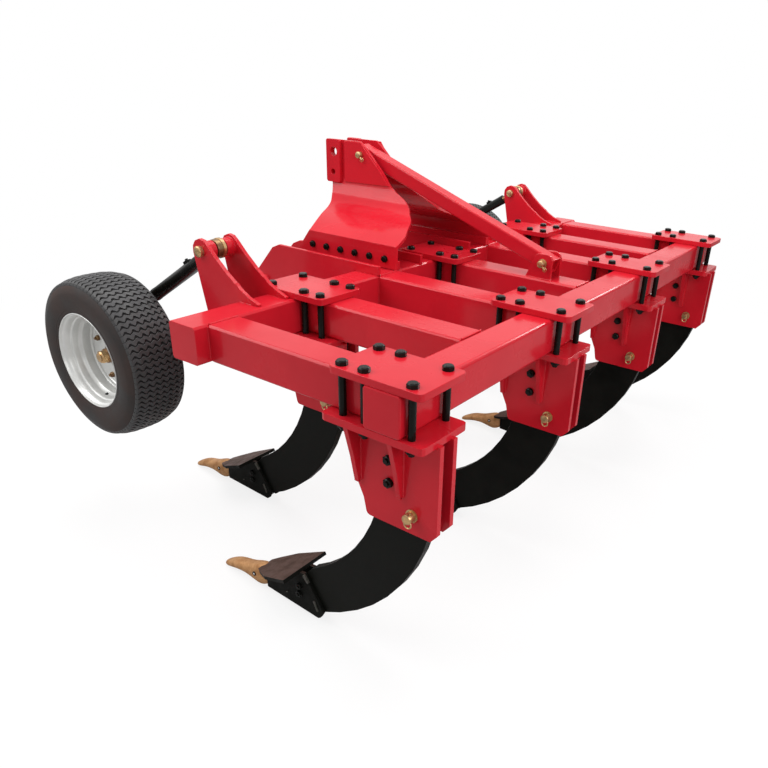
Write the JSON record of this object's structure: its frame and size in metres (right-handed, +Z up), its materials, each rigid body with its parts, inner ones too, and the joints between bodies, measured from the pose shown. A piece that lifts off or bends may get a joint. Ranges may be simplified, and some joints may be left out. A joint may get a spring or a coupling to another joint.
{
  "type": "mounted subsoiler",
  "caption": "Tractor-mounted subsoiler: staggered curved shanks clamped under a square tube frame, with a linkage hitch and screw-adjusted gauge wheels.",
  "frame": {"origin": "centre of the machine's footprint, on the ground under the shoes", "axes": "-X is the direction of travel, +Y is the machine's right-hand side, +Z is up"},
  "size_m": [1.7474, 2.5145, 1.3065],
  "materials": {
    "red_paint": "glossy red paint",
    "black_paint": "black paint",
    "brown_steel": "dark heat-treated steel",
    "cast_tip": "bare cast tip with a light coat",
    "yellow_zinc": "yellow zinc plating",
    "galvanised": "silver paint",
    "tyre_rubber": "black rubber"
  },
  "bodies": {
    "frame": {"front_beam": "red_paint", "rear_beam": "red_paint", "rail_1": "red_paint", "rail_2": "red_paint", "rail_3": "red_paint", "rail_4": "red_paint", "rail_5": "red_paint", "rail_6": "red_paint", "rail_7": "red_paint", "clamp_1": "red_paint", "clamp_2": "red_paint", "clamp_3": "red_paint", "clamp_4": "red_paint", "clamp_5": "red_paint", "clamp_6": "red_paint", "clamp_7": "red_paint", "bracket_1": "red_paint", "bracket_2": "red_paint", "bracket_3": "red_paint", "bracket_4": "red_paint", "bracket_5": "red_paint", "bracket_6": "red_paint", "bracket_7": "red_paint", "shank_1": "black_paint", "shank_2": "black_paint", "shank_3": "black_paint", "shank_4": "black_paint", "shank_5": "black_paint", "shank_6": "black_paint", "shank_7": "black_paint", "shoe_1": "brown_steel", "shoe_2": "brown_steel", "shoe_3": "brown_steel", "shoe_4": "brown_steel", "shoe_5": "brown_steel", "shoe_6": "brown_steel", "shoe_7": "brown_steel", "tip_1": "cast_tip", "tip_2": "cast_tip", "tip_3": "cast_tip", "tip_4": "cast_tip", "tip_5": "cast_tip", "tip_6": "cast_tip", "tip_7": "cast_tip", "mast_left": "red_paint", "mast_right": "red_paint", "lower_hitch_left": "red_paint", "lower_hitch_right": "red_paint", "brace_tube": "red_paint"},
    "arm_left": {"wheel_arm_left": "red_paint"},
    "barrel_left": {"adjuster_barrel_left": "black_paint"},
    "screw_left": {"adjuster_rod_left": "yellow_zinc"},
    "wheel_left": {"tyre_left": "tyre_rubber", "rim_left": "galvanised"},
    "arm_right": {"wheel_arm_right": "red_paint"},
    "barrel_right": {"adjuster_barrel_right": "black_paint"},
    "screw_right": {"adjuster_rod_right": "yellow_zinc"},
    "wheel_right": {"tyre_right": "tyre_rubber", "rim_right": "galvanised"}
  },
  "joints": [
    {"name": "wheel_height_left", "type": "hinge", "parent": "frame", "child": "arm_left", "pos_m": [-0.12875, -0.94725, 0.82], "axis": [0, 1, 0], "range_deg": [-12, 12]},
    {"name": "adjuster_swing_left", "type": "hinge", "parent": "frame", "child": "barrel_left", "pos_m": [-0.18175, -0.94725, 1.03], "axis": [0, 1, 0], "range_deg": [-12, 12]},
    {"name": "adjuster_length_left", "type": "slide", "parent": "barrel_left", "child": "screw_left", "axis": [-0.8553, 0, -0.5181], "range_m": [-0.048, 0.048]},
    {"name": "wheel_spin_left", "type": "hinge", "parent": "arm_left", "child": "wheel_left", "pos_m": [-0.58975, -1.11875, 0.62], "axis": [0, 1, 0], "continuous": true},
    {"name": "wheel_height_right", "type": "hinge", "parent": "frame", "child": "arm_right", "pos_m": [-0.12875, 0.97975, 0.82], "axis": [0, 1, 0], "range_deg": [-12, 12]},
    {"name": "adjuster_swing_right", "type": "hinge", "parent": "frame", "child": "barrel_right", "pos_m": [-0.18175, 0.97975, 1.03], "axis": [0, 1, 0], "range_deg": [-12, 12]},
    {"name": "adjuster_length_right", "type": "slide", "parent": "barrel_right", "child": "screw_right", "axis": [-0.8553, 0, -0.5181], "range_m": [-0.048, 0.048]},
    {"name": "wheel_spin_right", "type": "hinge", "parent": "arm_right", "child": "wheel_right", "pos_m": [-0.58975, 1.15125, 0.62], "axis": [0, 1, 0], "continuous": true}
  ],
  "couplings": [
    {"joint": "adjuster_swing_left", "follows": "wheel_height_left", "ratio": 0.879},
    {"joint": "adjuster_length_left", "follows": "wheel_height_left", "m_per_rad": -0.2071},
    {"joint": "adjuster_swing_right", "follows": "wheel_height_right", "ratio": 0.879},
    {"joint": "adjuster_length_right", "follows": "wheel_height_right", "m_per_rad": -0.2071}
  ]
}
